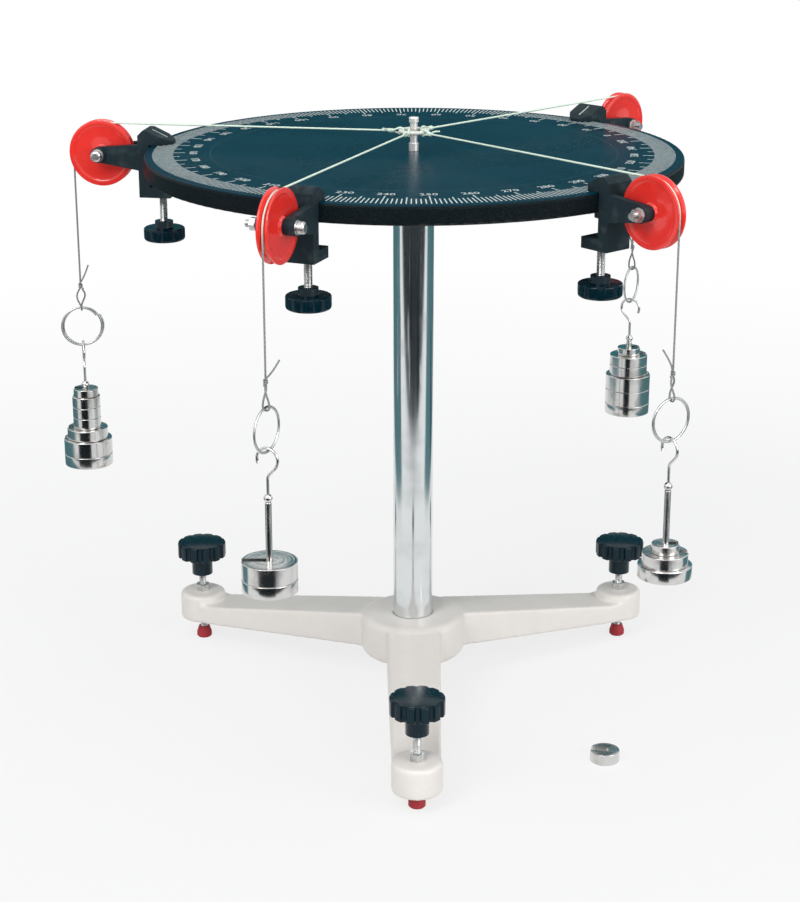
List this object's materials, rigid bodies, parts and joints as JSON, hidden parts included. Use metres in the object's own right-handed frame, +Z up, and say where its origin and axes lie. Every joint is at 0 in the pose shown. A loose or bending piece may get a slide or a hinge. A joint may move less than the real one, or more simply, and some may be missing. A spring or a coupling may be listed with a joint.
{
  "type": "force table",
  "caption": "Round graduated table on a column and a levelling tripod, with clamp-on pulleys whose strings pull a centre ring with hooked hangers and slotted masses.",
  "frame": {"origin": "on the column's axis, at the bench plane under the three foot caps", "axes": "+Z up along the column, -Y towards the front arm, +X to the right"},
  "size_m": [0.4855, 0.4643, 0.461],
  "materials": {
    "base_paint": "semi-gloss warm light grey paint on cast iron",
    "polished": "polished plating",
    "steel": "plain steel",
    "table_black": "black with white degree marks",
    "flange_black": "black paint",
    "clamp_black": "fine grained moulding",
    "knob_black": "glossy moulding",
    "pulley_red": "glossy moulding",
    "foot_red": "satin",
    "ring_white": "smooth",
    "nickel": "nickel-plated, polished",
    "cord": "twisted nylon cord"
  },
  "bodies": {
    "stand": {"tripod_base": "base_paint", "column": "polished", "tie_rod": "steel", "tie_nut": "steel", "table_flange": "flange_black", "flange_screws": "steel", "table_top": "table_black", "leg_nuts": "polished"},
    "ring": {"ring": "ring_white"},
    "centre_pin": {"centre_pin": "polished"},
    "spare_mass": {"spare_mass": "nickel"},
    "foot_1": {"foot_cap_1": "foot_red"},
    "levelling_screw_1": {"leg_screw_1": "polished", "leg_knob_1": "knob_black"},
    "foot_2": {"foot_cap_2": "foot_red"},
    "levelling_screw_2": {"leg_screw_2": "polished", "leg_knob_2": "knob_black"},
    "foot_3": {"foot_cap_3": "foot_red"},
    "levelling_screw_3": {"leg_screw_3": "polished", "leg_knob_3": "knob_black"},
    "clamp_a": {"clamp_body_a": "clamp_black", "axle_a": "polished", "string_a": "cord"},
    "pulley_a": {"pulley_a": "pulley_red"},
    "clamp_pad_a": {"clamp_pad_a": "steel"},
    "clamp_screw_a": {"clamp_screw_a": "polished", "clamp_knob_a": "knob_black"},
    "key_ring_a": {"key_ring_a": "polished"},
    "hanger_a": {"hanger_a": "nickel"},
    "masses_a": {"masses_a": "nickel"},
    "clamp_b": {"clamp_body_b": "clamp_black", "axle_b": "polished", "string_b": "cord"},
    "pulley_b": {"pulley_b": "pulley_red"},
    "clamp_pad_b": {"clamp_pad_b": "steel"},
    "clamp_screw_b": {"clamp_screw_b": "polished", "clamp_knob_b": "knob_black"},
    "key_ring_b": {"key_ring_b": "polished"},
    "hanger_b": {"hanger_b": "nickel"},
    "masses_b": {"masses_b": "nickel"},
    "clamp_c": {"clamp_body_c": "clamp_black", "axle_c": "polished", "string_c": "cord"},
    "pulley_c": {"pulley_c": "pulley_red"},
    "clamp_pad_c": {"clamp_pad_c": "steel"},
    "clamp_screw_c": {"clamp_screw_c": "polished", "clamp_knob_c": "knob_black"},
    "key_ring_c": {"key_ring_c": "polished"},
    "hanger_c": {"hanger_c": "nickel"},
    "masses_c": {"masses_c": "nickel"},
    "clamp_d": {"clamp_body_d": "clamp_black", "axle_d": "polished", "string_d": "cord"},
    "pulley_d": {"pulley_d": "pulley_red"},
    "clamp_pad_d": {"clamp_pad_d": "steel"},
    "clamp_screw_d": {"clamp_screw_d": "polished", "clamp_knob_d": "knob_black"},
    "key_ring_d": {"key_ring_d": "polished"},
    "hanger_d": {"hanger_d": "nickel"},
    "masses_d": {"masses_d": "nickel"}
  },
  "joints": [
    {"name": "pin_lift", "type": "slide", "parent": "stand", "child": "centre_pin", "axis": [0, 0, 1], "range_m": [0, 0.04]},
    {"name": "ring_turn", "type": "hinge", "parent": "stand", "child": "ring", "pos_m": [0, 0, 0.4505], "axis": [0, 0, 1], "continuous": true},
    {"name": "spare_mass_lift", "type": "slide", "parent": "stand", "child": "spare_mass", "axis": [0, 0, 1], "range_m": [0, 0.15]},
    {"name": "foot_1_travel", "type": "slide", "parent": "stand", "child": "foot_1", "axis": [0, 0, 1], "range_m": [-0.008, 0.003]},
    {"name": "levelling_knob_1_turn", "type": "hinge", "parent": "foot_1", "child": "levelling_screw_1", "pos_m": [0, -0.204, 0.066], "axis": [0, 0, 1], "range_deg": [-2880, 1080]},
    {"name": "foot_2_travel", "type": "slide", "parent": "stand", "child": "foot_2", "axis": [0, 0, 1], "range_m": [-0.008, 0.003]},
    {"name": "levelling_knob_2_turn", "type": "hinge", "parent": "foot_2", "child": "levelling_screw_2", "pos_m": [0.17667, 0.102, 0.066], "axis": [0, 0, 1], "range_deg": [-2880, 1080]},
    {"name": "foot_3_travel", "type": "slide", "parent": "stand", "child": "foot_3", "axis": [0, 0, 1], "range_m": [-0.008, 0.003]},
    {"name": "levelling_knob_3_turn", "type": "hinge", "parent": "foot_3", "child": "levelling_screw_3", "pos_m": [-0.17667, 0.102, 0.066], "axis": [0, 0, 1], "range_deg": [-2880, 1080]},
    {"name": "clamp_a_swing", "type": "hinge", "parent": "stand", "child": "clamp_a", "pos_m": [0, 0, 0.436], "axis": [0, 0, 1], "range_deg": [-25, 25]},
    {"name": "clamp_pad_a_travel", "type": "slide", "parent": "clamp_a", "child": "clamp_pad_a", "axis": [0, 0, 1], "range_m": [-0.012, 0]},
    {"name": "clamp_knob_a_turn", "type": "hinge", "parent": "clamp_pad_a", "child": "clamp_screw_a", "pos_m": [-0.19089, 0.03229, 0.385], "axis": [0, 0, 1], "range_deg": [-4320, 0]},
    {"name": "hanger_a_rise", "type": "slide", "parent": "clamp_a", "child": "key_ring_a", "axis": [0, 0, 1], "range_m": [-0.006, 0.006], "deforming": ["string_a"]},
    {"name": "pulley_a_turn", "type": "hinge", "parent": "clamp_a", "child": "pulley_a", "pos_m": [-0.23664, 0.04002, 0.4277], "axis": [-0.1668, -0.986, 0], "range_deg": [-16, 16]},
    {"name": "hanger_a_swing", "type": "hinge", "parent": "key_ring_a", "child": "hanger_a", "pos_m": [-0.25912, 0.04383, 0.27455], "axis": [0.9848, 0.1736, 0], "range_deg": [-12, 12]},
    {"name": "masses_a_slide", "type": "slide", "parent": "hanger_a", "child": "masses_a", "axis": [1, 0, 0], "range_m": [0, 0.024]},
    {"name": "clamp_b_swing", "type": "hinge", "parent": "stand", "child": "clamp_b", "pos_m": [0, 0, 0.436], "axis": [0, 0, 1], "range_deg": [-25, 25]},
    {"name": "clamp_pad_b_travel", "type": "slide", "parent": "clamp_b", "child": "clamp_pad_b", "axis": [0, 0, 1], "range_m": [-0.012, 0]},
    {"name": "clamp_knob_b_turn", "type": "hinge", "parent": "clamp_pad_b", "child": "clamp_screw_b", "pos_m": [-0.07346, -0.17912, 0.385], "axis": [0, 0, 1], "range_deg": [-4320, 0]},
    {"name": "hanger_b_rise", "type": "slide", "parent": "clamp_b", "child": "key_ring_b", "axis": [0, 0, 1], "range_m": [-0.006, 0.006], "deforming": ["string_b"]},
    {"name": "pulley_b_turn", "type": "hinge", "parent": "clamp_b", "child": "pulley_b", "pos_m": [-0.09107, -0.22205, 0.4277], "axis": [0.9252, -0.3795, 0], "range_deg": [-16, 16]},
    {"name": "hanger_b_swing", "type": "hinge", "parent": "key_ring_b", "child": "hanger_b", "pos_m": [-0.09972, -0.24315, 0.28155], "axis": [-0.4848, -0.8746, 0], "range_deg": [-12, 12]},
    {"name": "masses_b_slide", "type": "slide", "parent": "hanger_b", "child": "masses_b", "axis": [1, 0, 0], "range_m": [0, 0.024]},
    {"name": "clamp_c_swing", "type": "hinge", "parent": "stand", "child": "clamp_c", "pos_m": [0, 0, 0.436], "axis": [0, 0, 1], "range_deg": [-25, 25]},
    {"name": "clamp_pad_c_travel", "type": "slide", "parent": "clamp_c", "child": "clamp_pad_c", "axis": [0, 0, 1], "range_m": [-0.012, 0]},
    {"name": "clamp_knob_c_turn", "type": "hinge", "parent": "clamp_pad_c", "child": "clamp_screw_c", "pos_m": [0.12599, -0.14699, 0.385], "axis": [0, 0, 1], "range_deg": [-4320, 0]},
    {"name": "hanger_c_rise", "type": "slide", "parent": "clamp_c", "child": "key_ring_c", "axis": [0, 0, 1], "range_m": [-0.006, 0.006], "deforming": ["string_c"]},
    {"name": "pulley_c_turn", "type": "hinge", "parent": "clamp_c", "child": "pulley_c", "pos_m": [0.15619, -0.18222, 0.4277], "axis": [0.7593, 0.6508, 0], "range_deg": [-16, 16]},
    {"name": "hanger_c_swing", "type": "hinge", "parent": "key_ring_c", "child": "hanger_c", "pos_m": [0.17102, -0.19954, 0.27355], "axis": [-0.848, -0.5299, 0], "range_deg": [-12, 12]},
    {"name": "masses_c_slide", "type": "slide", "parent": "hanger_c", "child": "masses_c", "axis": [-1, 0, 0], "range_m": [0, 0.024]},
    {"name": "clamp_d_swing", "type": "hinge", "parent": "stand", "child": "clamp_d", "pos_m": [0, 0, 0.436], "axis": [0, 0, 1], "range_deg": [-25, 25]},
    {"name": "clamp_pad_d_travel", "type": "slide", "parent": "clamp_d", "child": "clamp_pad_d", "axis": [0, 0, 1], "range_m": [-0.012, 0]},
    {"name": "clamp_knob_d_turn", "type": "hinge", "parent": "clamp_pad_d", "child": "clamp_screw_d", "pos_m": [0.13879, 0.13497, 0.385], "axis": [0, 0, 1], "range_deg": [-4320, 0]},
    {"name": "hanger_d_rise", "type": "slide", "parent": "clamp_d", "child": "key_ring_d", "axis": [0, 0, 1], "range_m": [-0.006, 0.006], "deforming": ["string_d"]},
    {"name": "pulley_d_turn", "type": "hinge", "parent": "clamp_d", "child": "pulley_d", "pos_m": [0.17206, 0.16732, 0.4277], "axis": [-0.6972, 0.7169, 0], "range_deg": [-16, 16]},
    {"name": "hanger_d_swing", "type": "hinge", "parent": "key_ring_d", "child": "hanger_d", "pos_m": [0.1884, 0.18321, 0.27255], "axis": [0.4848, 0.8746, 0], "range_deg": [-12, 12]},
    {"name": "masses_d_slide", "type": "slide", "parent": "hanger_d", "child": "masses_d", "axis": [-1, 0, 0], "range_m": [0, 0.024]}
  ],
  "couplings": [
    {"joint": "foot_1_travel", "follows": "levelling_knob_1_turn", "m_per_rad": 0.00015915},
    {"joint": "foot_2_travel", "follows": "levelling_knob_2_turn", "m_per_rad": 0.00015915},
    {"joint": "foot_3_travel", "follows": "levelling_knob_3_turn", "m_per_rad": 0.00015915},
    {"joint": "clamp_pad_a_travel", "follows": "clamp_knob_a_turn", "m_per_rad": 0.00015915},
    {"joint": "pulley_a_turn", "follows": "hanger_a_rise", "rad_per_m": -43.86},
    {"joint": "clamp_pad_b_travel", "follows": "clamp_knob_b_turn", "m_per_rad": 0.00015915},
    {"joint": "pulley_b_turn", "follows": "hanger_b_rise", "rad_per_m": -43.86},
    {"joint": "clamp_pad_c_travel", "follows": "clamp_knob_c_turn", "m_per_rad": 0.00015915},
    {"joint": "pulley_c_turn", "follows": "hanger_c_rise", "rad_per_m": -43.86},
    {"joint": "clamp_pad_d_travel", "follows": "clamp_knob_d_turn", "m_per_rad": 0.00015915},
    {"joint": "pulley_d_turn", "follows": "hanger_d_rise", "rad_per_m": -43.86}
  ]
}
